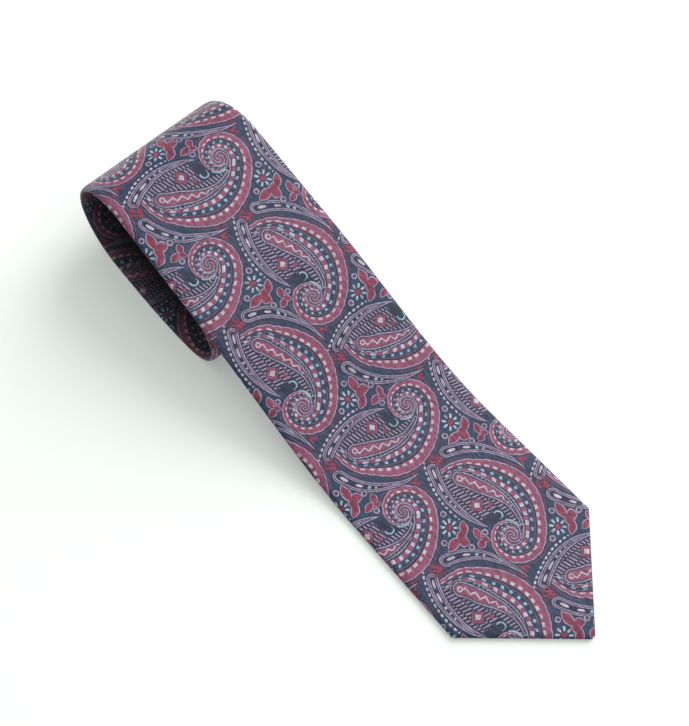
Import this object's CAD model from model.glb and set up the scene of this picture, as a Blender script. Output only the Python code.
import math

import bmesh
import bpy
import numpy as np
from mathutils import Matrix, Vector


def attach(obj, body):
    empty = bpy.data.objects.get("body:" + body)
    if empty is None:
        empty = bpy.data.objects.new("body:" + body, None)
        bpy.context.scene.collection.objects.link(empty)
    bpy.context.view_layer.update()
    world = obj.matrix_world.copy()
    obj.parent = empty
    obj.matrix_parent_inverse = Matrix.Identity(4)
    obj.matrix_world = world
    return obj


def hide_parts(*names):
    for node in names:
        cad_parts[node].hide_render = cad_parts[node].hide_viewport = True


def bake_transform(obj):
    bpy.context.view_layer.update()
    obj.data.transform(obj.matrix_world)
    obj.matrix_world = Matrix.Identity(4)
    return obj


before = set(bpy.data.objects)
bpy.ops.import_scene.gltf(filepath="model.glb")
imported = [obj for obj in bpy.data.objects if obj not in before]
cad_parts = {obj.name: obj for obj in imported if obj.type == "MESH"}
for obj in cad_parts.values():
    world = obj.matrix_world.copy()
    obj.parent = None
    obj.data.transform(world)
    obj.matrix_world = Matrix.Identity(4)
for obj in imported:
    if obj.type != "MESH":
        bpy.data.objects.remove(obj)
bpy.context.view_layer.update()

mm = 0.001  # the cloth is worked out in millimetres and built in metres

tie = {
    "length": 1400,
    "bladeWidth": 89,  # across the corners of the front point
    "pointLength": 43,
    "tipLean": 3,  # how far the tip lies to the right of the middle
    "shoulderWidth": 79,  # where the blade bends over the roll
    "flatLength": 107,  # lying on the table
    "climbLength": 118,  # rising to the near bends
    "frontPanel": 620,
    "tailPanel": 400,
    "neckWidth": 36,
    "neckSlack": 240,  # past the front seam before the neck is at its narrowest
    "tailWidth": 48,
    "thickness": 2.6,
    "rollHeight": 54,
    "nearShare": 0.68,  # height of the near bends against the far ones
    "turnGap": 0.5,
    "leastRadius": 2.2,
    "riseExtra": 7,
    "strayBy": 9.5,  # how far the turns lie to the left of the blade
    "strayBack": 150,
    "blunt": 1.2,  # where the points are cut off
}

halfT = tie["thickness"] / 2
pitch = tie["thickness"] + tie["turnGap"]
coreH = tie["rollHeight"] - tie["thickness"]
nearH = coreH * tie["nearShare"]
nearBends = math.floor((nearH / 2 - pitch / 2 - tie["leastRadius"]) / pitch) + 1


def farRadius(k):
    return coreH / 2 - k * pitch


def nearRadius(k):
    return nearH / 2 - (k + 0.5) * pitch


def floorZ(k):
    return halfT + k * pitch


bendTotal = sum(farRadius(k) for k in range(nearBends + 1)) + sum(nearRadius(k) for k in range(nearBends))
nearY = tie["flatLength"] + tie["climbLength"]
runCount = 2 * nearBends + 2
rollRun = (tie["length"] - nearY - tie["riseExtra"] - math.pi * bendTotal) / runCount
farY = nearY + rollRun
lengthY = farY + coreH / 2 + halfT
midY = (tie["blunt"] + lengthY) / 2


def topNormal(nearZ, r0, farZ, r1):
    # Direction of the normal of a straight run laid over two bends
    rise = farZ - nearZ
    return math.atan2(rise, rollRun) + math.acos((r0 - r1) / math.hypot(rollRun, rise))


firstZ = halfT + nearH / 2
firstNormal = topNormal(firstZ, nearH / 2, halfT + coreH / 2, coreH / 2)


def normalAfter(k):
    if k < 0:
        return firstNormal
    return topNormal(
        floorZ(k) + nearRadius(k), nearRadius(k), floorZ(k + 1) + farRadius(k + 1), farRadius(k + 1)
    )


routeSteps = {"flat": 12, "climb": 48, "run": 10, "bend": 40}


def arcPoints(y, z, r, start, end):
    turns = np.linspace(start, end, routeSteps["bend"] + 1)
    return np.stack([y + r * np.cos(turns), z + r * np.sin(turns)], 1)


def straight(p, q):
    share = np.linspace(0, 1, routeSteps["run"] + 1)[1:-1, None]
    return np.array(p) + (np.array(q) - np.array(p)) * share


def routePoints():
    # The middle line of the cloth, from the front tip to the tail, as (y, z)
    flat = tie["flatLength"]
    outwards = np.array([math.cos(firstNormal), math.sin(firstNormal)])
    climbEnd = np.array([nearY, firstZ]) + nearH / 2 * outwards
    slope = math.tan(firstNormal - math.pi / 2)
    run, rise = climbEnd[0] - flat, climbEnd[1] - halfT
    t = np.linspace(0, 1, routeSteps["climb"] + 1)
    climb = np.stack(
        [flat + run * t, halfT + rise * t * t * (3 - 2 * t) + slope * run * t * t * (t - 1)], 1
    )
    lying = np.array([[y, halfT] for y in np.linspace(0, flat, routeSteps["flat"] + 1)[:-1]])
    parts = [lying, climb]
    before = climbEnd
    for k in range(nearBends + 1):
        far = arcPoints(farY, floorZ(k) + farRadius(k), farRadius(k), normalAfter(k - 1), -math.pi / 2)
        parts += [straight(before, far[0]), far]
        if k == nearBends:
            inner = [nearY - nearRadius(k - 1) / 2, floorZ(k)]
            parts += [straight(far[-1], inner), np.array([inner])]
            break
        near = arcPoints(nearY, floorZ(k) + nearRadius(k), nearRadius(k), 1.5 * math.pi, normalAfter(k))
        parts += [straight(far[-1], near[0]), near]
        before = near[-1]
    return np.concatenate(parts)


route = routePoints()
routeLength = np.concatenate([[0], np.cumsum(np.hypot(*np.diff(route, axis=0).T))])
foldStart = routeSteps["flat"] + routeSteps["climb"] + routeSteps["run"]  # the outer bend's first point
foldFrom = routeLength[foldStart]
foldTo = routeLength[foldStart + routeSteps["bend"]]
frontSeam = tie["frontPanel"]
tailSeam = tie["length"] - tie["tailPanel"]


def at(s):
    return np.stack([np.interp(s, routeLength, route[:, 0]), np.interp(s, routeLength, route[:, 1])], -1)


def heading(s, probe=1.5):
    d = at(np.asarray(s) + probe) - at(np.asarray(s) - probe)
    return d / np.linalg.norm(d, axis=-1, keepdims=True)


def halfWidth(s):
    stops = [
        (0, 0), (tie["pointLength"], tie["bladeWidth"]), (foldFrom, tie["shoulderWidth"]),
        (tie["frontPanel"] + tie["neckSlack"], tie["neckWidth"]), (tailSeam, tie["neckWidth"]),
        (tie["length"] - tie["tailWidth"] / 2, tie["tailWidth"]), (tie["length"], 0),
    ]
    return np.maximum(np.interp(s, *zip(*stops)) / 2, tie["blunt"])


def ease(t):
    u = np.clip(t, 0, 1)
    return u * u * (3 - 2 * u)


def sideShift(s):
    strayEnd = foldTo + rollRun
    lean = tie["tipLean"] * np.maximum(1 - s / tie["pointLength"], 0)
    stray = ease((s - foldFrom) / (strayEnd - foldFrom)) - ease((s - strayEnd) / tie["strayBack"])
    return lean - tie["strayBy"] * stray


def place(s, x, n):
    # Metres in space for a spot x across and n out from the middle of the cloth
    s, x, n = np.broadcast_arrays(np.asarray(s, float), np.asarray(x, float), np.asarray(n, float))
    p, h = at(s), heading(s)
    return np.stack([x + sideShift(s), p[..., 0] - n * h[..., 1] - midY, p[..., 1] + n * h[..., 0]], -1) * mm


print("route: fold from", round(float(foldFrom), 2), "to", round(float(foldTo), 2), "run", round(rollRun, 2))


def setPins(node, pins):
    for name, value in pins.items():
        node.inputs[name].default_value = value


class Field:
    # A number that varies over the cloth, held as the output of a shader node
    def __init__(self, tree, socket):
        self.tree, self.socket = tree, socket

    def fed(self, node, pins, values):
        # Links the fields, sets the plain numbers, and gives back the node's first output
        for pin, value in zip(pins, values):
            if isinstance(value, Field):
                self.tree.links.new(value.socket, pin)
            else:
                pin.default_value = value
        return Field(self.tree, node.outputs[0])

    def math(self, operation, *others):
        node = self.tree.nodes.new("ShaderNodeMath")
        node.operation = operation
        return self.fed(node, node.inputs, (self, *others))

    def __add__(self, other):
        return self.math("ADD", other)

    def __sub__(self, other):
        return self.math("SUBTRACT", other)

    def __mul__(self, other):
        return self.math("MULTIPLY", other)

    __and__ = __mul__

    def __truediv__(self, other):
        return self.math("DIVIDE", other)

    def __lt__(self, other):
        return self.math("LESS_THAN", other)

    def __gt__(self, other):
        return self.math("GREATER_THAN", other)

    def __or__(self, other):
        return self.math("MAXIMUM", other)

    def __abs__(self):
        return self.math("ABSOLUTE")

    def invert(self):
        return (self * -1) + 1

    def fract(self):
        return self.math("FRACT")

    def least(self, other):
        return self.math("MINIMUM", other)

    def within(self, low, high):
        return (self > low) & (self < high)

    def mixed(self, other, share):
        node = self.tree.nodes.new("ShaderNodeMix")
        return self.fed(node, (node.inputs[0], node.inputs[2], node.inputs[3]), (share, self, other))

    def eased(self, low, high):
        node = self.tree.nodes.new("ShaderNodeMapRange")
        node.interpolation_type = "SMOOTHSTEP"
        self.tree.links.new(self.socket, node.inputs[0])
        setPins(node, {"From Min": low, "From Max": high})
        return Field(self.tree, node.outputs[0])

    def along(self, points):
        # Reads the field through a hand-drawn curve of (value, result) points
        xs, ys = zip(*points)
        low, high = min(ys), max(ys)
        node = self.tree.nodes.new("ShaderNodeFloatCurve")
        line = node.mapping.curves[0]
        scaled = [((x - xs[0]) / (xs[-1] - xs[0]), (y - low) / (high - low)) for x, y in points]
        line.points[0].location, line.points[1].location = scaled[0], scaled[-1]
        for spot in scaled[1:-1]:
            line.points.new(*spot)
        node.mapping.update()
        self.tree.links.new(((self - xs[0]) / (xs[-1] - xs[0])).socket, node.inputs["Value"])
        return Field(self.tree, node.outputs[0]) * (high - low) + low


def lengthOf(x, y):
    return ((x * x) + (y * y)).math("SQRT")


def polar(a, b, centre, start):
    # Distance from a centre and the angle round it, in degrees from start up to start + 360
    x, y = a - centre[0], b - centre[1]
    turn = y.math("ARCTAN2", x) * (180 / math.pi)
    return lengthOf(x, y), turn + ((turn < start) * 360)


# The woven pattern: paisleys in columns on the bias, each column the mirror image of the last
pattern = {
    "repeat": 50.6,  # along a column
    "column": 49.3,  # from one column to the next
    "head": (-104.3, -84.5),  # middle of one paisley's swirl
    "mirroredHead": -46.6,  # of the swirl in the next column
    "line": 0.5,
}
threads = {  # sRGB colour, height of the float, roughness
    "ground": ((38, 57, 86), 0.25, 0.50),
    "navy": ((34, 40, 66), 0.20, 0.50),
    "plum": ((66, 48, 76), 0.35, 0.52),
    "mauve": ((98, 72, 104), 0.55, 0.48),
    "wine": ((104, 44, 72), 0.50, 0.50),
    "rose": ((138, 70, 99), 0.70, 0.44),
    "crimson": ((146, 56, 84), 0.72, 0.44),
    "lilac": ((152, 142, 170), 0.90, 0.40),
    "sky": ((138, 168, 190), 0.95, 0.38),
    "pale": ((186, 174, 190), 1.00, 0.38),
}
threadNames = list(threads)


def tone(name):
    return (threadNames.index(name) + 0.5) / len(threadNames)


class Weave:
    # Threads laid over each other, the last one on top
    def __init__(self, field):
        self.field = field

    def lay(self, name, where):
        self.field = self.field.mixed(tone(name), where)


def folded(p, q, pLow, qLow):
    # Brings every motif onto one, in a window that starts at pLow and qLow
    across = q - pattern["head"][1]
    column = ((across - qLow) / pattern["column"]).math("FLOOR")
    q1 = across - (column * pattern["column"])
    odd = column.math("FLOORED_MODULO", 2)
    shift = pattern["mirroredHead"] - pattern["head"][0]
    p1 = (p - pattern["head"][0] - (odd * shift)) * ((odd * -2) + 1)
    p1 = p1 - (((p1 - pLow) / pattern["repeat"]).math("FLOOR") * pattern["repeat"])
    half = math.sqrt(0.5)
    return (q1 - p1) * half, (p1 + q1) * -half


def layRings(weave, where, distance, rings):
    for name, low, high in rings:
        weave.lay(name, where & distance.within(low, high))


def layOvals(weave, u, side, reach, ovals):
    for name, spot, long, wide in ovals:
        weave.lay(name, reach & (lengthOf((u - spot) / long, side / wide) < 1))


def layBands(weave, v, width, beads, inside):
    w = v / width
    weave.lay("rose", inside)
    weave.lay("pale", inside & w.within(0.26, 0.375) & beads.fract().within(0.2, 0.74))
    layRings(weave, inside, w, (("navy", 0.39, 0.45), ("mauve", 0.45, 0.505), ("ground", 0.505, 0.70)))
    weave.lay("sky", inside & w.within(0.545, 0.655) & (beads * 0.78).fract().within(0.3, 0.66))
    big = (beads * 0.65).fract()
    weave.lay("mauve", inside & w.within(0.70, 0.92))
    weave.lay("rose", inside & w.within(0.70, 0.90) & (big > 0.62))
    weave.lay("pale", inside & w.within(0.735, 0.885) & big.within(0.06, 0.52))
    weave.lay("navy", inside & (w > 0.92))
    weave.lay("lilac", inside & ((width - v) < pattern["line"]))
    weave.lay("mauve", inside & (width - v).within(1.05, 1.35) & (w > 0.9))
    weave.lay("lilac", inside & (v < pattern["line"]))


def layPaisley(weave, a, b):
    bodyR, bodyTurn = polar(a, b, (-13.5, 1.3), 90)
    bodyOut = bodyTurn.along([(172, 29.4), (200, 28), (220, 26.3), (240, 26.1), (270, 26.5), (306, 26.1),
                              (323, 26.8), (337, 27.8), (352, 29)])
    bodyWidth = bodyTurn.along([(172, 4.8), (197, 6.4), (212, 8.1), (226, 10.4), (245, 12.3), (266, 13.1),
                                (287, 12.7), (308, 11.6), (352, 11)])
    headR, headTurn = polar(a, b, (0, 0), -80)
    headOut = (headTurn * -0.0333) + 14
    headWidth = headTurn.along([(-80, 11.4), (-40, 10.9), (0, 9.8), (90, 7.2), (180, 4.5), (280, 1.5)])
    inHead = headR < headOut
    headShare = headTurn.eased(-60, -25) & ((headTurn < 150) | inHead)
    beads = ((bodyTurn - 200) / 9.6).mixed((headTurn + 329) / 20, headShare)
    v = (bodyOut - bodyR).mixed(headOut - headR, headShare)
    v = v + (abs((beads * math.pi).math("SINE")) * 0.25) - 0.1
    width = bodyWidth.mixed(headWidth, headShare)
    known = (headShare > 0.5) | bodyTurn.within(174, 346)

    # rows of hatching on the dark field inside, and a diamond
    capsuleR = lengthOf(a + 27.5, b + 26)
    inField = ((bodyOut - bodyR) > bodyWidth) | bodyTurn.within(174, 346).invert()
    inner = (capsuleR < 34.4) & (a > -42) & (b > -14) & inField & inHead.invert()
    weave.lay("plum", inner)
    weave.lay("navy", inner & (a > -13.4))
    row = (b + (a * 0.12) + 40) / 4.3
    stagger = row.math("FLOOR") * 0.37
    stroke = (((a + (b * 0.25)) / 1.75) + stagger).fract()
    hatch = inner & ((a < -13.4) | (b < -4.8)) & (row.fract() < 0.88)
    weave.lay("navy", hatch)
    weave.lay("mauve", hatch & (stroke < 0.56))
    weave.lay("lilac", hatch & stroke.within(0.08, 0.40))
    diamond = abs(a + 20.3) + abs(b - 2.2)
    for name, size in (("plum", 4.1), ("rose", 3.5), ("wine", 2.3), ("pale", 1.75)):
        weave.lay(name, diamond < size)
    cross = abs(a + 16.4).least(abs(b + 2.4))
    weave.lay("rose", (cross < 0.4) & (abs(a + 16.4) < 1.5) & (abs(b + 2.4) < 1.5))

    # a second, fainter outline follows the body
    layRings(weave, known, v, (("plum", -1.4, 0), ("mauve", -1.35, -0.95)))
    layBands(weave, v, width, beads, (v > 0) & (v < width) & known)

    # the bent drop, with a saw line and an eye
    dropR, dropTurn = polar(a, b, (-10.5, 21), 0)
    u = (dropTurn - 222.6) * (31 * math.pi / 180)
    middle = u.along([(-3, 32), (0, 31.9), (4.5, 31.1), (11, 30.2), (21.6, 30.5), (26.6, 30.7), (37, 29)])
    half = u.along([(-3, 3.1), (4.5, 3.4), (11, 3.1), (16.4, 2.6), (21.6, 1.9), (26.6, 1.3), (37, 0.9)])
    side = dropR - middle
    drop = lengthOf(u.least(0), side) - half
    reach = (u < 36) & (headR > 4.6)
    layRings(weave, reach, drop, (
        ("navy", 0, 0.55), ("lilac", -0.55, 0), ("navy", -0.85, -0.55), ("mauve", -1.15, -0.85),
    ))
    inDrop = reach & (drop < -1.15)
    weave.lay("rose", inDrop)
    saw = (u / 2.3).math("PINGPONG", 1) * 2 - 1
    weave.lay("pale", inDrop & (u > 1.4) & (abs(side - (saw * 0.95)) < 0.42))
    weave.lay("pale", inDrop & (abs(lengthOf(u, side) - 1) < 0.3))

    # the swirl in the head, and two sky hooks
    swirl = (headTurn * (3 / 360)) + (headR / 1.55)
    inSwirl = inHead & (v > width) & (headR < 6)
    arm = swirl.fract()
    weave.lay("mauve", inSwirl)
    layRings(weave, inSwirl, arm, (("rose", 0.62, 0.95), ("navy", 0.34, 0.58)))
    weave.lay("lilac", inSwirl & (arm < 0.32))

    hook = abs(headR - headOut - 0.25) < 0.38
    weave.lay("sky", hook & headTurn.within(203, 262))
    cup = abs(lengthOf(a + 10.5, b + 1.9) - 2) < 0.38
    weave.lay("sky", cup & (b < -1.2) & (a < -8.6))


def layBars(weave, a, b):
    line = pattern["line"]
    barR, barTurn = polar(a, b, (-27.5, -26), 0)
    u = (barTurn * -1 + 119.2) * (36.2 * math.pi / 180)
    half = u.along([(-3, 2.6), (10, 2.4), (18, 2.0), (28, 1.3), (37, 0.1)])
    side = barR - 36.2
    bar = lengthOf(u.least(0), side) - half
    reach = (u < 37) & (barTurn < 200)
    layRings(weave, reach, bar, (
        ("navy", 0, 0.5), ("lilac", -line, 0), ("mauve", -1.05, -line), ("lilac", -1.4, -1.05),
    ))
    weave.lay("navy", reach & (bar < -1.4))
    layOvals(weave, u, side, reach, (
        ("pale", 2.4, 2.2, 0.55), ("pale", 9, 2.4, 0.55), ("pale", 14, 0.6, 0.55),
        ("pale", 17, 0.5, 0.5), ("pale", 20, 0.45, 0.4),
    ))
    dots = lengthOf(((u / 2.4).fract() - 0.5) * 2.4, (barR - 39.7) * 1.5)
    weave.lay("pale", (dots < 0.78) & u.within(-3.5, 25) & (barTurn < 200))

    leafR, leafTurn = polar(a, b, (-13.5, 1.3), 0)
    u = (leafTurn - 190.5) * (33 * math.pi / 180)
    middle = leafTurn.along([(186, 34.6), (202, 33.5), (219, 32), (238, 30.2), (262, 29)])
    half = u.along([(-3, 2.9), (8, 2.7), (16, 2.2), (27, 1.3), (41, 0.1)])
    side = leafR - middle
    leaf = lengthOf(u.least(0), side) - half
    reach = (u < 41) & (leafTurn > 90)
    weave.lay("navy", reach & leaf.within(0, 0.5))
    weave.lay("mauve", reach & (leaf < 0))
    layRings(weave, reach, leaf, (("lilac", -0.42, 0), ("lilac", -1.35, -0.95)))
    weave.lay("navy", reach & (leaf < -1.35))
    layOvals(weave, u, side, reach, (
        ("pale", 2.4, 2.0, 0.75), ("pale", 9.6, 1.7, 0.6), ("sky", 14.4, 0.85, 0.7), ("pale", 17.6, 0.6, 0.5),
    ))
    for spot in ((-47.5, 0.5), (-20, -28.6)):
        layBranches(weave, a, b, spot, leaf > 0.6)


def layBranches(weave, a, b, spot, clear=1):
    far = lengthOf(a - spot[0], b - spot[1])
    twig = abs(((a * 0.8) + (far * 0.5)).math("SINE") + ((b * 1.1) - (far * 0.3)).math("SINE"))
    weave.lay("wine", (far < 3.6) & (twig < 0.75) & clear)
    weave.lay("crimson", (far < 2.8) & (twig < 0.3) & clear)


def layFillers(weave, a, b):
    layBranches(weave, a, b, (-8, -28.4))
    r, turn = polar(a, b, (10.7, -19), 0)
    petals = (turn * (8 * math.pi / 180)).math("COSINE")
    weave.lay("pale", r.within(1.9, 3.2) & (petals > 0.15))
    weave.lay("sky", r.within(3.2, 4.1) & (petals > 0.35))
    weave.lay("crimson", r < 1.25)
    for spot in ((13, -13), (4, -22.2), (12, -32), (21.5, -31)):
        ring = lengthOf(a - spot[0], b - spot[1])
        weave.lay("navy", ring < 1.9)
        weave.lay("lilac", ring.within(0.8, 1.5))
        weave.lay("mauve", ring < 0.45)
    lobes, ribs = None, None
    for x, y, long, short, lean in (
        (6.8, -25.6, 4.1, 1.9, 8), (11.2, -27.9, 2.6, 2.1, -55), (12.0, -25.4, 3.0, 1.9, 35),
        (15.5, -23.6, 3.4, 1.7, 58), (18.4, -29.4, 2.8, 1.5, 75), (16.6, -33.8, 2.3, 1.5, 15),
        (19.4, -33.2, 1.9, 1.2, -50),
    ):
        c, s = math.cos(math.radians(lean)), math.sin(math.radians(lean))
        dx, dy = a - x, b - y
        length, side = ((dx * c) + (dy * s)) / long, abs((dy * c) - (dx * s))
        lobe = (length * length) + (side / short)
        lobes = lobe if lobes is None else lobes.least(lobe)
        ribs = side if ribs is None else ribs.least(side)
    for name, size in (("navy", 1.5), ("lilac", 1.26), ("crimson", 0.98)):
        weave.lay(name, lobes < size)
    weave.lay("wine", (lobes < 0.8) & ((ribs < 0.16) | (((a * 0.9) - (b * 0.7)).fract() < 0.26)))


def rampOf(tree, field, values):
    # A ramp with one flat step for each kind of thread
    node = tree.nodes.new("ShaderNodeValToRGB")
    ramp = node.color_ramp
    ramp.interpolation = "CONSTANT"
    for index, value in enumerate(values):
        step = ramp.elements[0] if index == 0 else ramp.elements.new(index / len(values))
        step.color = value if hasattr(value, "__len__") else (value, value, value, 1)
    ramp.elements.remove(ramp.elements[-1])
    tree.links.new(field.socket, node.inputs[0])
    return node.outputs[0]


def linear(colour):
    def one(c):
        c = c / 255
        return c / 12.92 if c <= 0.04045 else ((c + 0.055) / 1.055) ** 2.4
    return tuple(one(c) for c in colour) + (1,)


def freshMaterial(name):
    material = bpy.data.materials.new(name)
    material.use_nodes = True
    return material, material.node_tree, material.node_tree.nodes["Principled BSDF"]


def clothSpot(tree):
    # Where a spot lies on the flat cloth, in metres: as a vector, across and along
    uv = tree.nodes.new("ShaderNodeUVMap")
    uv.uv_map = "cloth"
    split = tree.nodes.new("ShaderNodeSeparateXYZ")
    tree.links.new(uv.outputs[0], split.inputs[0])
    return uv.outputs[0], Field(tree, split.outputs[0]), Field(tree, split.outputs[1])


def noise(tree, vector, scale, detail=2, distortion=0):
    node = tree.nodes.new("ShaderNodeTexNoise")
    node.noise_dimensions = "2D"
    setPins(node, {"Scale": scale, "Detail": detail, "Distortion": distortion})
    tree.links.new(vector, node.inputs["Vector"])
    return Field(tree, node.outputs[0])


def stretched(tree, vector, scale, turn=0):
    node = tree.nodes.new("ShaderNodeMapping")
    setPins(node, {"Rotation": (0, 0, math.radians(turn)), "Scale": (*scale, 1)})
    tree.links.new(vector, node.inputs[0])
    return node.outputs[0]


def dye(tree, shader, level, dark, light):
    node = tree.nodes.new("ShaderNodeValToRGB")
    node.color_ramp.elements[0].color = linear(dark)
    node.color_ramp.elements[1].color = linear(light)
    tree.links.new(level.socket, node.inputs[0])
    tree.links.new(node.outputs[0], shader.inputs["Base Color"])


def emboss(tree, shader, height, relief, strength=1):
    node = tree.nodes.new("ShaderNodeBump")
    setPins(node, {"Distance": relief, "Strength": strength})
    tree.links.new(height.socket, node.inputs["Height"])
    tree.links.new(node.outputs[0], shader.inputs["Normal"])


silk = {
    "thread": 0.34,  # from one weft thread to the next
    "drawnOut": 0.979,  # pattern to each length of tie: bias cloth hangs a little long
    "shift": 1.2,  # of the whole pattern, towards the tip
    "wander": 1.1,  # how far the lines stray from true
    "wanderScale": 60,
    "fleckScale": 900,
    "lumpScale": 520,
    "brightness": 0.94,
    "relief": 0.0003,
    "embossing": 0.8,
    "sheen": 0.12,
    "sheenRoughness": 0.4,
    "specular": 0.35,
}


def silkMaterial():
    material, tree, shader = freshMaterial("paisleySilk")
    spot, across, along = clothSpot(tree)
    t, s = across * 1000, along * (1000 * silk["drawnOut"]) + silk["shift"]
    half = math.sqrt(0.5)
    p, q = (t + s) * -half, (t - s) * half
    wander = (noise(tree, spot, silk["wanderScale"]) - 0.5) * silk["wander"]
    pw, qw = p + wander, q + wander
    weave = Weave(t * 0 + tone("ground"))
    layPaisley(weave, *folded(pw, qw, -15, -33))
    layBars(weave, *folded(pw, qw, -7, -41))
    layFillers(weave, *folded(pw, qw, -10, 12))
    colour = rampOf(tree, weave.field, [linear(threads[n][0]) for n in threadNames])
    height = Field(tree, rampOf(tree, weave.field, [threads[n][1] for n in threadNames]))
    rough = Field(tree, rampOf(tree, weave.field, [threads[n][2] for n in threadNames]))

    # single threads: the weft floats along q, and the warp ties it down in a twill
    count = 2 * math.pi / silk["thread"]
    weft = (p * count).math("SINE")
    twill = (((p * 0.5) + q) * count * 0.5).math("SINE")
    yarn = (weft * 0.6) + (twill * 0.4)
    uneven = noise(tree, spot, silk["fleckScale"], 3)
    lump = noise(tree, stretched(tree, spot, (1, 0.45), 45), silk["lumpScale"], 2, 0.6) - 0.5
    inside = tree.nodes.new("ShaderNodeAttribute")
    inside.attribute_name = "shade"
    level = (yarn * 0.07) + ((uneven - 0.5) * 0.7) + (lump * 1.1) + silk["brightness"]
    patch = tree.nodes.new("ShaderNodeVectorMath")
    patch.operation = "SCALE"
    tree.links.new(colour, patch.inputs[0])
    tree.links.new((level * Field(tree, inside.outputs["Fac"])).socket, patch.inputs["Scale"])
    tree.links.new(patch.outputs[0], shader.inputs["Base Color"])
    tree.links.new((rough + (uneven - 0.5) * 0.15).socket, shader.inputs["Roughness"])
    emboss(tree, shader, height + (yarn * 0.12) + (lump * 1.3), silk["relief"], silk["embossing"])
    setPins(shader, {
        "Sheen Weight": silk["sheen"], "Sheen Roughness": silk["sheenRoughness"],
        "Specular IOR Level": silk["specular"],
    })
    print("silk material:", len(tree.nodes), "nodes")
    return material


silkCloth = silkMaterial()

cloth = {
    "thickness": 0.45,
    "seamGap": 0.3,  # half the gap between the flaps along the back seam
    "panelGap": 0.2,  # from a panel seam to the cloth on each side
    "hem": 9,
    "pocket": 118,  # from the front tip to where the flaps meet
    "tailPocket": 62,
    "roundOff": 3.4,  # how far in from an edge the cloth swells to its full thickness
    "edgeSteps": 8,
    "flatSteps": 22,
    "flapSteps": 12,
}


def flapGap(s):
    point, tailPoint = tie["pointLength"], tie["tailWidth"] / 2
    hem, pocket, tailPocket = cloth["hem"], cloth["pocket"], cloth["tailPocket"]
    front = np.maximum(pocket - s, 0) * (point - hem) / (pocket - point)
    tail = np.maximum(s - tie["length"] + tailPocket, 0) * (tailPoint - hem) / (tailPocket - tailPoint)
    return max(cloth["seamGap"], min(front + tail, halfWidth(s) - hem))


def swell(s, x, half):
    # Soft waves of the face, at most 0.15 mm high
    wave = 0.10 * np.sin(s / 23 + x / 17) * np.sin(s / 37 - x / 29) + 0.05 * np.sin(s / 9.1 + x / 6.3)
    return wave * np.clip((half - abs(x)) / 8, 0, 1)


def section(s, inset):
    # One row of points across the cloth: back flap, edge, face, edge, back flap
    half = float(halfWidth(s)) - inset
    deep = min(halfT - inset, max(half, 0.2) * 0.7)
    roundOff = min(cloth["roundOff"], half * 0.9)
    gap = min(flapGap(s), max(half - 1.2, cloth["seamGap"]))
    bend = np.linspace(0, math.pi / 2, cloth["edgeSteps"] + 1)
    edge = half - roundOff * (1 - np.cos(bend))  # from the edge inwards
    rise = deep * np.sin(bend) ** 0.85
    start = max(min(gap, edge[-1] - 0.1), 0.05)
    flap = np.linspace(start, edge[-1], cloth["flapSteps"] + 1)[:-1]
    face = np.linspace(edge[-1], -edge[-1], cloth["flatSteps"] + 1)[1:-1]
    x = np.concatenate([flap, edge[::-1], edge[1:], face, -edge[::-1], -edge[1:], -flap[::-1]])
    n = np.concatenate([
        np.full(len(flap), -deep), -rise[::-1], rise[1:], np.full(len(face), deep),
        rise[::-1], -rise[1:], np.full(len(flap), -deep)])
    onFace = n > 0
    n = n + np.where(onFace, swell(s, x, half), 0)
    step = np.hypot(np.diff(x), np.diff(n))
    cut = np.concatenate([[0], np.cumsum(step)])
    middle = len(x) // 2
    return x, n, cut[middle] - cut  # cut: distance from the middle, measured on the cloth


def rowsBetween(s0, s1, step):
    return np.linspace(s0, s1, max(int(math.ceil((s1 - s0) / step)), 2) + 1)


def addObject(name, data):
    piece = bpy.data.objects.new(name, data)
    bpy.context.collection.objects.link(piece)
    return piece


def makeObject(name, verts, faces, material):
    mesh = bpy.data.meshes.new(name)
    mesh.from_pydata([tuple(v) for v in verts], [], faces)
    mesh.materials.append(material)
    mesh.update()
    piece = addObject(name, mesh)
    mesh.polygons.foreach_set("use_smooth", [True] * len(mesh.polygons))
    mesh.set_sharp_from_angle(angle=math.radians(50))
    return piece


def shellFaces(rows, count):
    # Faces of a closed strip whose rows are closed rings of count points, with capped ends
    faces = []
    for i in range(rows - 1):
        for j in range(count):
            k = (j + 1) % count
            faces.append((i * count + j, i * count + k, (i + 1) * count + k, (i + 1) * count + j))
    halfCount = count // 2
    last = (rows - 1) * count
    for j in range(halfCount - 1):
        faces.append((j, count - 1 - j, count - 2 - j, j + 1))
        faces.append((last + j, last + j + 1, last + count - 2 - j, last + count - 1 - j))
    return faces


def shadeInside(s, x, n):
    # The back of the cloth is painted duller and darker where it is wound up inside the roll
    wound = ease((s - foldFrom + 20) / 40)
    depth = ease((float(halfWidth(s)) - np.abs(x)) / 15)
    return np.where(n < 0, 1 - wound * (0.42 + 0.5 * depth), 1.0)


def addShade(piece, values):
    spots = piece.data.attributes.new("shade", "FLOAT", "POINT")
    spots.data.foreach_set("value", np.asarray(values, np.float32))


def ringSpots(across, s):
    # Where a ring that runs over the cloth and back under it lies on the flat cloth
    return np.stack([np.concatenate([across, across[::-1]]), np.full(2 * len(across), s)], 1) * mm


def mapCloth(piece, spots):
    mesh = piece.data
    corner = np.empty(len(mesh.loops), int)
    mesh.loops.foreach_get("vertex_index", corner)
    flat = mesh.uv_layers.new(name="cloth")
    flat.data.foreach_set("uv", np.concatenate(spots)[corner].astype(np.float32).ravel())


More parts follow.
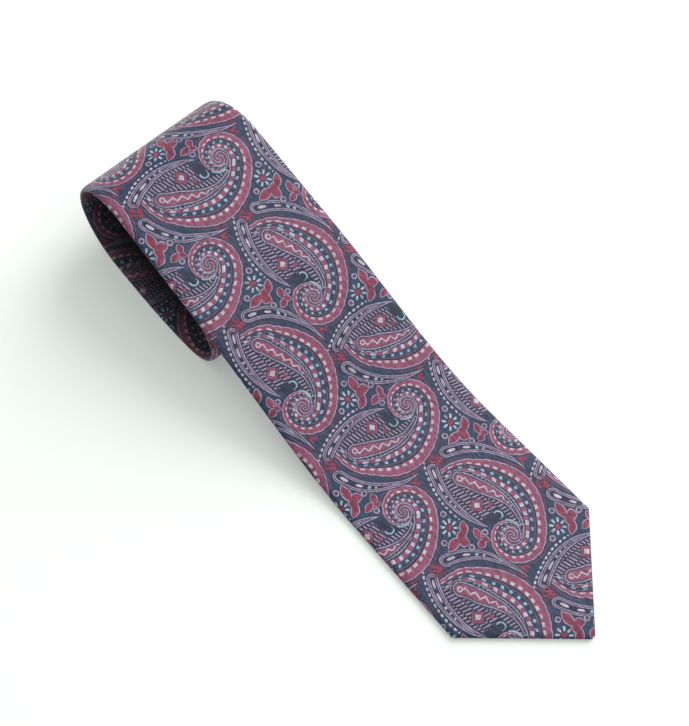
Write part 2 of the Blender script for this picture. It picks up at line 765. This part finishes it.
def clothShell(name, s0, s1, step):
    # A closed skin: the outer section, and the same one a cloth's thickness further in
    verts, spots, shades = [], [], []
    rows = rowsBetween(s0, s1, step)
    for s in rows:
        outerX, outerN, cut = section(s, 0)
        innerX, innerN, _ = section(s, cloth["thickness"])
        verts.append(np.concatenate([place(s, outerX, outerN), place(s, innerX, innerN)[::-1]]))
        spots.append(ringSpots(cut, s))
        ringX, ringN = np.concatenate([outerX, innerX[::-1]]), np.concatenate([outerN, innerN[::-1]])
        shades.append(shadeInside(s, ringX, ringN))
    piece = makeObject(name, np.concatenate(verts), shellFaces(len(rows), len(verts[0])), silkCloth)
    mapCloth(piece, spots)
    addShade(piece, np.concatenate(shades))
    return piece


def cutWidth(s):
    _, _, cut = section(s, 0)
    return float(cut.max() - cut.min())


def declareCut(piece, s0, s1, width, rests):
    # The flat cut is the strip the piece was made from
    ss = np.linspace(s0, s1, 60)
    widths = np.array([width(s) for s in ss])
    flat = (float(widths.max()) * mm, (s1 - s0) * mm)


def panel(name, node, body, s0, s1, rests, step=2):
    piece = clothShell(name, s0, s1, step)
    if body:
        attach(piece, body)
    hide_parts(node)
    declareCut(piece, s0, s1, cutWidth, rests)
    return piece


gap = cloth["panelGap"]
tailEnd = tie["length"] - tie["blunt"]
frontBlade = panel("frontBlade", "front_blade", "blade", tie["blunt"], foldFrom, "blade_interlining")
frontFold = panel("frontFold", "front_fold", None, foldFrom, foldTo, "fold_interlining")
rollPanel = panel("rollPanel", "front_roll_panel", "roll", foldTo, frontSeam - gap, "roll_interlining")
panel("neckBand", "neck_band", "roll", frontSeam + gap, tailSeam - gap, "roll_interlining", 3)
tailBlade = panel("tailBlade", "tail_blade", "roll", tailSeam + gap, tailEnd, "roll_interlining", 3)
foldBottom = place(foldTo, 0, 0)
foldTop = place(foldFrom, 0, 0)
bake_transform(frontFold)
print("cloth shells made")


def weaveMaterial(look):
    # A plain or satin weave with its own ribs, fibres and sheen
    material, tree, shader = freshMaterial(look["name"])
    spot, across, along = clothSpot(tree)
    x, s = across * 1000, along * 1000
    warp = (x * (2 * math.pi / look["warp"])).math("SINE")
    weft = (s * (2 * math.pi / look["weft"])).math("SINE")
    strand = noise(tree, stretched(tree, spot, look["fibre"]), 1, 4, look["tangle"])
    level = (warp * weft * 0.16) + ((strand - 0.5) * 1.7) + ((noise(tree, spot, 90) - 0.5) * 0.5) + 0.5
    if "border" in look:
        edge = abs(x) - look["border"]
        level = level + (edge.within(0, 0.5) * 0.6) + (edge.within(1, 1.3) * 0.5)
    dye(tree, shader, level, look["dark"], look["light"])
    emboss(tree, shader, (warp * weft * 0.3) + strand, look["relief"])
    tree.links.new(((strand - 0.5) * 0.3 + look["rough"]).socket, shader.inputs["Roughness"])
    setPins(shader, {"Sheen Weight": look["sheen"], "Specular IOR Level": look["specular"]})
    return material


def threadMaterial(name, dark, light):
    # Two-ply sewing thread with slanting plies
    material, tree, shader = freshMaterial(name)
    ply = tree.nodes.new("ShaderNodeTexWave")
    ply.bands_direction = "DIAGONAL"
    setPins(ply, {"Scale": 700, "Distortion": 2.5})
    tree.links.new(tree.nodes.new("ShaderNodeTexCoord").outputs["Object"], ply.inputs["Vector"])
    wave = Field(tree, ply.outputs["Fac"])
    dye(tree, shader, wave, dark, light)
    emboss(tree, shader, wave, 0.00005)
    setPins(shader, {"Roughness": 0.55, "Sheen Weight": 0.3})
    return material


woolFelt = weaveMaterial({
    "name": "woolInterlining", "dark": (150, 145, 136), "light": (224, 220, 210), "warp": 0.9, "weft": 0.9,
    "fibre": (700, 260), "tangle": 1.5, "relief": 0.0004, "rough": 0.85, "sheen": 0.5, "specular": 0.1,
})
liningSatin = weaveMaterial({
    "name": "liningSatin", "dark": (38, 38, 62), "light": (74, 66, 98), "warp": 0.25, "weft": 0.5,
    "fibre": (2600, 120), "tangle": 0.1, "relief": 0.00006, "rough": 0.4, "sheen": 0.2, "specular": 0.5,
})
labelWeave = weaveMaterial({
    "name": "labelWeave", "dark": (30, 32, 48), "light": (98, 92, 122), "warp": 0.35, "weft": 0.35,
    "fibre": (500, 2400), "tangle": 0.2, "relief": 0.0001, "rough": 0.5, "sheen": 0.2, "specular": 0.4,
    "border": 25,
})
careSatin = weaveMaterial({
    "name": "careSatin", "dark": (196, 192, 184), "light": (240, 237, 230), "warp": 0.3, "weft": 0.3,
    "fibre": (2200, 300), "tangle": 0.2, "relief": 0.00008, "rough": 0.45, "sheen": 0.15, "specular": 0.4,
    "border": 9.2,
})
seamThread = threadMaterial("seamThread", (40, 34, 58), (84, 74, 110))
labelThread = threadMaterial("labelThread", (150, 145, 165), (205, 200, 215))

wool = {
    "material": woolFelt, "slot": "wool", "step": 3,
    "low": -0.40, "high": 0.74, "from": 12, "to": 1388,
}
lining = {
    "material": liningSatin, "slot": "lining", "step": 2,
    "low": -0.75, "high": -0.50, "front": (11, 142), "tail": (1314, 1389),
}
layerInset = 1.85  # how far the layers stay inside the edge of the cloth


def strip(name, s0, s1, half, sheet, columns=24):
    # A flat layer between two heights, with rounded edges; ripple and curl bend it a little
    low, high = sheet["low"], sheet["high"]
    middle, thick = (low + high) / 2, (high - low) / 2
    ripple, curl = sheet.get("ripple", 0), sheet.get("curl", 0)
    verts, spots = [], []
    rows = rowsBetween(s0, s1, sheet["step"])
    for s in rows:
        h = half(s)
        bunched = h * np.sin(np.linspace(math.pi / 2, -math.pi / 2, columns + 1))
        x = bunched * 0.25 + np.linspace(h, -h, columns + 1) * 0.75
        inFrom = np.minimum(h - np.abs(x), min(s - s0, s1 - s)) / max(thick * 2.2, 0.3)
        rounded = np.sqrt(1 - (1 - np.clip(inFrom, 0.02, 1)) ** 2) * thick
        wave = ripple * np.sin(s / 5.3 + 1) * np.sin(x / 6.1 + s / 11)
        lift = wave + curl * ((s - s1) / (s1 - s0)) ** 2
        upper, lower = middle + rounded + lift, middle - rounded + lift
        verts.append(np.concatenate([place(s, x, upper), place(s, x, lower)[::-1]]))
        spots.append(ringSpots(x, s))
    faces = shellFaces(len(rows), len(verts[0]))
    piece = makeObject(name, np.concatenate(verts), faces, sheet["material"])
    mapCloth(piece, spots)
    return piece


def insetHalf(s):
    return max(float(halfWidth(s)) - layerInset, 0.5)


def layer(name, node, body, span, sheet, rests):
    piece = strip(name, *span, insetHalf, sheet)
    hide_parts(node)
    if body:
        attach(piece, body)
    declareCut(piece, *span, lambda s: 2 * insetHalf(s), rests)
    return piece


layer("bladeInterlining", "blade_interlining", "blade", (wool["from"], foldFrom), wool, frontBlade)
foldWool = layer("foldInterlining", "fold_interlining", None, (foldFrom, foldTo), wool, frontFold)
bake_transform(foldWool)
layer("rollInterlining", "roll_interlining", "roll", (foldTo, wool["to"]), wool, rollPanel)
layer("frontLining", "front_tipping", "blade", lining["front"], lining, frontBlade)
layer("tailLining", "tail_tipping", "roll", lining["tail"], lining, tailBlade)
print("interlinings and linings made")

backFace = -halfT - 0.06  # just clear of the back of the cloth

keeper = {
    "at": 150.05,
    "length": 12,
    "width": 60,
    "thick": 0.9,
    "room": 3.2,  # for the tail to slide through
    "corner": 1.7,
    "footIn": 3.4,
    "sag": 0.18,
}


def keeperPath():
    # Half of the loop's middle line, from a foot on the blade down to the band, as (x, n)
    outX, corner = keeper["width"] / 2 - keeper["thick"] / 2, keeper["corner"]
    low = backFace - keeper["room"] - keeper["thick"] / 2
    foot = keeper["width"] / 2 - keeper["footIn"]
    path = [(foot, backFace - 0.22), (outX - 0.6, backFace - 0.24), (outX, backFace - 0.75)]
    for turn in np.linspace(0, -math.pi / 2, 7):
        path.append((outX - corner + corner * math.cos(turn), low + corner + corner * math.sin(turn)))
    return np.array(path), low


def keeperLoop():
    # A folded strip of the same cloth: two feet on the back of the blade and a band across
    path, low = keeperPath()
    span = np.linspace(path[-1, 0], -path[-1, 0], 30)[1:-1]
    sag = keeper["sag"] * np.cos(span / path[-1, 0] * math.pi / 2)
    middle = np.concatenate([path, np.stack([span, low + sag], 1), path[::-1] * [-1, 1]])
    along = np.gradient(middle, axis=0)
    along /= np.linalg.norm(along, axis=1, keepdims=True)
    side = np.stack([-along[:, 1], along[:, 0]], 1)
    walked = np.concatenate([[0], np.cumsum(np.linalg.norm(np.diff(middle, axis=0), axis=1))])
    half = np.minimum(keeper["thick"] / 2, 0.2 + 0.12 * np.minimum(walked, walked[-1] - walked))
    across = np.linspace(-1, 1, 13)
    shift = np.concatenate([across, across[::-1]]) * (keeper["length"] / 2)
    verts, spots = [], []
    for i in range(len(middle)):
        rim = half[i] * np.sqrt(1 - np.clip(np.abs(across), 0, 0.98) ** 10)
        ring = []
        for sign in (1, -1):
            x = middle[i, 0] + side[i, 0] * rim * sign
            n = middle[i, 1] + side[i, 1] * rim * sign
            ring.append(place(keeper["at"], x, n)[::sign])
        ring = np.concatenate(ring)
        ring[:, 1:] += shift[:, None] * mm * heading(keeper["at"])
        verts.append(ring)
        spots.append(np.stack([np.full(len(shift), walked[i] - walked[-1] / 2), shift + 12], 1) * mm)
    faces = shellFaces(len(middle), len(verts[0]))
    piece = makeObject("keeperLoop", np.concatenate(verts), faces, silkCloth)
    mapCloth(piece, spots)
    addShade(piece, np.ones(len(piece.data.vertices)))
    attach(piece, "blade")
    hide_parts("keeper_loop")


keeperLoop()

makers = {
    "material": labelWeave, "step": 0.7, "ripple": 0.03,
    "from": 185.55, "length": 14, "width": 58, "low": -1.9, "high": -1.6,
}
care = {
    "material": careSatin, "step": 0.8, "ripple": 0.05, "curl": -0.25,
    "from": 160.05, "length": 24, "width": 22, "low": -1.9, "high": -1.6,
}


def sewnLabel(name, node, body, look, columns):
    start, end = look["from"], look["from"] + look["length"]
    piece = strip(name, start, end, lambda s: look["width"] / 2, look, columns)
    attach(piece, body)
    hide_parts(node)
    look["width"] * mm
    look["length"] * mm


sewnLabel("makersLabel", "maker_label", "blade", makers, 40)
sewnLabel("careLabel", "care_label", "care", care, 24)
print("keeper loop and labels made")


def stitchTree():
    # Lines in, a row of plump stitches out
    tree = bpy.data.node_groups.new("stitchRow", "GeometryNodeTree")
    face = tree.interface
    face.new_socket("Lines", in_out="INPUT", socket_type="NodeSocketGeometry")
    for name in ("Pitch", "Length", "Width"):
        face.new_socket(name, in_out="INPUT", socket_type="NodeSocketFloat")
    face.new_socket("Thread", in_out="INPUT", socket_type="NodeSocketMaterial")
    face.new_socket("Stitches", in_out="OUTPUT", socket_type="NodeSocketGeometry")
    add = tree.nodes.new
    start, end = add("NodeGroupInput"), add("NodeGroupOutput")
    curve = add("GeometryNodeMeshToCurve")
    spots = add("GeometryNodeCurveToPoints")
    spots.mode = "LENGTH"
    bead = add("GeometryNodeMeshUVSphere")
    setPins(bead, {"Segments": 8, "Rings": 6, "Radius": 0.5})
    size = add("ShaderNodeCombineXYZ")
    uneven = add("FunctionNodeRandomValue")
    setPins(uneven, {2: 0.9, 3: 1.08, "Seed": 4})
    long = add("ShaderNodeMath")
    long.operation = "MULTIPLY"
    put = add("GeometryNodeInstanceOnPoints")
    real = add("GeometryNodeRealizeInstances")
    smooth = add("GeometryNodeSetShadeSmooth")
    paint = add("GeometryNodeSetMaterial")
    for source, out, target, pin in (
        (start, "Lines", curve, 0), (curve, 0, spots, "Curve"), (start, "Pitch", spots, "Length"),
        (spots, "Points", put, "Points"), (spots, "Rotation", put, "Rotation"),
        (bead, "Mesh", put, "Instance"), (start, "Length", long, 0), (uneven, 1, long, 1),
        (start, "Width", size, 0), (start, "Width", size, 1), (long, 0, size, 2),
        (size, 0, put, "Scale"), (put, 0, real, 0), (real, 0, smooth, 0),
        (smooth, 0, paint, 0), (start, "Thread", paint, "Material"), (paint, 0, end, 0),
    ):
        tree.links.new(source.outputs[out], target.inputs[pin])
    return tree


stitchRow = stitchTree()


def sewOn(piece, node, body):
    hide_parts(node)
    if body:
        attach(piece, body)


def stitches(name, node, body, lines, pitchLength, length, width, thread):
    edges, first = [], 0
    for line in lines:
        edges += [(first + i, first + i + 1) for i in range(len(line) - 1)]
        first += len(line)
    mesh = bpy.data.meshes.new(name + "Lines")
    mesh.from_pydata([tuple(v) for v in np.concatenate(lines)], edges, [])
    rows = addObject(name + "Lines", mesh)
    modifier = rows.modifiers.new("stitchRow", "NODES")
    modifier.node_group = stitchRow
    values = {"Pitch": pitchLength * mm, "Length": length * mm, "Width": width * mm, "Thread": thread}
    for item in stitchRow.interface.items_tree:
        if item.name in values and item.in_out == "INPUT":
            modifier[item.identifier] = values[item.name]
    shown = rows.evaluated_get(bpy.context.evaluated_depsgraph_get())
    final = bpy.data.meshes.new_from_object(shown)
    bpy.data.objects.remove(rows)
    piece = addObject(name, final)
    sewOn(piece, node, body)
    return piece


def dash(s, x, n, ds=0.0, dx=0.0):
    # One stitch: its middle, and a point a little way along it
    return np.stack([place(s, x, n), place(s + ds, x + dx, n)])


single = 5  # a pitch longer than any dash, so each dash gets one stitch
sewing = {"thread": 0.3, "length": 1.6, "pitch": 2.6, "inset": 2, "deep": 0.05}
tack = {"front": 121, "tail": 1335, "width": 6.7, "count": 19, "length": 1.32, "deep": 0.1}
slip = {"pitch": 3.4, "length": 3.1, "at": -1.08}
joining = {"thread": 0.28, "length": 2, "pitch": 4, "inset": 3.85, "deep": 0.14}
thread = sewing["thread"]

rows = []
count = int((makers["length"] - 2 * sewing["inset"]) / sewing["pitch"])
for side in (-1, 1):
    x = side * (makers["width"] / 2 - sewing["inset"])
    for i in range(count + 1):
        s = makers["from"] + makers["length"] / 2 + (i - count / 2) * sewing["pitch"]
        rows.append(dash(s, x, makers["low"] - sewing["deep"], 0.5))
stitches("labelStitches", "label_stitches", "blade", rows, single, sewing["length"], thread, labelThread)

for name, node, body, s in (
    ("frontBarTack", "front_bar_tack", "blade", tack["front"]),
    ("tailBarTack", "tail_bar_tack", "roll", tack["tail"]),
):
    n = backFace - tack["deep"]
    spread = np.linspace(-tack["width"] / 2, tack["width"] / 2, tack["count"])
    bars = [dash(s + 0.08 * math.sin(i * 2.3), x, n, 0.5, 0.1) for i, x in enumerate(spread)]
    bars += [dash(s, x, n - tack["deep"], 0, 0.5) for x in (-2.6, -0.9, 0.9, 2.6)]
    stitches(name, node, body, bars, single, tack["length"], thread, seamThread)

for name, node, body, s0, s1 in (
    ("bladeSlipStitch", "blade_slip_stitch", "blade", tack["front"], foldFrom),
    ("foldSlipStitch", "fold_slip_stitch", None, foldFrom, foldTo),
    ("rollSlipStitch", "roll_slip_stitch", "roll", foldTo, tack["tail"]),
):
    line = place(np.arange(s0 + 1.5, s1 - 1, 1.0), 0, slip["at"])
    seam = stitches(name, node, body, [line], slip["pitch"], slip["length"], thread, seamThread)
    if not body:
        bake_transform(seam)

joins = []
for s in (frontSeam, tailSeam):
    reach = int((float(halfWidth(s)) - joining["inset"]) / joining["pitch"])
    for i in range(-reach, reach + 1):
        joins.append(dash(s, i * joining["pitch"], halfT - joining["deep"], 0, 0.5))
stitches("panelSeamThreads", "panel_seam_threads", "roll", joins,
         single, joining["length"], joining["thread"], seamThread)

slack = {"at": 128, "radius": 5.2, "open": 0.21, "steps": 160, "sides": 6, "twist": 0.42}


def slackLoop():
    # The loose end of the slip stitch, two plies twisted round each other
    turns = np.linspace(-math.pi / 2 + slack["open"], 1.5 * math.pi - slack["open"], slack["steps"] + 1)
    at, r, sides, ply = slack["at"], slack["radius"], slack["sides"], thread / 4
    depth = backFace - thread / 2
    line = place(at + r * np.sin(turns), r * np.cos(turns), depth)
    verts, faces = [], []
    for strand in (0, 1):
        base = len(verts)
        for i, turn in enumerate(turns):
            twist = i * slack["twist"] + strand * math.pi
            for k in range(sides):
                a = 2 * math.pi * k / sides
                out = r + (ply * math.cos(twist) + ply * math.cos(a))
                up = ply * math.sin(twist) + ply * math.sin(a)
                verts.append(tuple(place(at + out * math.sin(turn), out * math.cos(turn), depth + up)))
        for i in range(len(turns) - 1):
            here, there = base + i * sides, base + (i + 1) * sides
            for k in range(sides):
                j = (k + 1) % sides
                faces.append((here + k, here + j, there + j, there + k))
        faces.append(tuple(base + k for k in range(sides))[::-1])
        faces.append(tuple(base + (len(turns) - 1) * sides + k for k in range(sides)))
    piece = makeObject("slackThread", verts, faces, seamThread)
    bm = bmesh.new()
    bm.from_mesh(piece.data)
    bmesh.ops.recalc_face_normals(bm, faces=bm.faces)
    bm.to_mesh(piece.data)
    bm.free()
    sewOn(piece, "slack_thread", "blade")


slackLoop()
print("stitches made")

view = {
    "focal": 58.9,
    "distance": 0.570,
    "elevation": 67.2,
    "azimuth": -51.5,
    "roll": 10,
    "target": (0.008, 0.0162, 0),
}
studio = {
    "floorHalf": 3,
    "floorDrop": 0.0002,  # keeps the floor from meeting the underside of the cloth
    "floorColour": (0.70, 0.712, 0.70, 1),
    "floorGlow": (0.93, 1, 0.94, 1),
    "glowStrength": 0.26,
    "airColour": (0.93, 1, 0.93, 1),
    "airLow": 0.18,  # strength low down on the left
    "airRise": 0.82,  # more of it overhead and to the right
    "lampAt": (1.9, 0.35, 1.35),
    "lampSize": 2.2,
    "lampPower": 56,
    "lampColour": (1, 0.96, 1),
}


def setCamera():
    e, a, roll = (math.radians(view[k]) for k in ("elevation", "azimuth", "roll"))
    back = Vector((math.sin(a) * math.cos(e), -math.cos(a) * math.cos(e), math.sin(e)))
    right = (-back).cross(Vector((0, 0, 1))).normalized()
    up = back.cross(right)
    turned = right * math.cos(roll) + up * math.sin(roll)
    upright = up * math.cos(roll) - right * math.sin(roll)
    data = bpy.data.cameras.new("camera")
    data.lens = view["focal"]
    camera = addObject("camera", data)
    spot = Vector(view["target"]) + back * view["distance"]
    camera.matrix_world = Matrix.Translation(spot) @ Matrix((turned, upright, back)).transposed().to_4x4()
    bpy.context.scene.camera = camera


def setFloor():
    mesh = bpy.data.meshes.new("floor")
    r = studio["floorHalf"]
    corners = [(-r, -r, 0), (r, -r, 0), (r, r, 0), (-r, r, 0)]
    mesh.from_pydata(corners, [], [(0, 1, 2, 3)])
    floor = addObject("floor", mesh)
    floor.location.z = -studio["floorDrop"]
    material, _, shader = freshMaterial("floorPaper")
    setPins(shader, {
        "Base Color": studio["floorColour"], "Roughness": 0.9, "Specular IOR Level": 0.1,
        "Emission Color": studio["floorGlow"], "Emission Strength": studio["glowStrength"],
    })
    mesh.materials.append(material)


def setLight():
    world = bpy.data.worlds.new("studioAir")
    world.use_nodes = True
    air = world.node_tree
    bright = air.nodes["Background"]
    bright.inputs[0].default_value = studio["airColour"]
    way = air.nodes.new("ShaderNodeSeparateXYZ")
    air.links.new(air.nodes.new("ShaderNodeTexCoord").outputs["Generated"], way.inputs[0])
    up = Field(air, way.outputs[2]) + (Field(air, way.outputs[0]) * 0.55)
    air.links.new((up.eased(0.1, 1.0) * studio["airRise"] + studio["airLow"]).socket, bright.inputs[1])
    bpy.context.scene.world = world
    data = bpy.data.lights.new("softKey", "AREA")
    data.shape = "DISK"
    data.size, data.energy, data.color = studio["lampSize"], studio["lampPower"], studio["lampColour"]
    lamp = addObject("softKey", data)
    lamp.location = studio["lampAt"]
    lamp.rotation_euler = Vector(studio["lampAt"]).to_track_quat("Z", "Y").to_euler()


setCamera()
setFloor()
setLight()
bpy.context.scene.view_settings.view_transform = "Standard"
print("camera and light set")
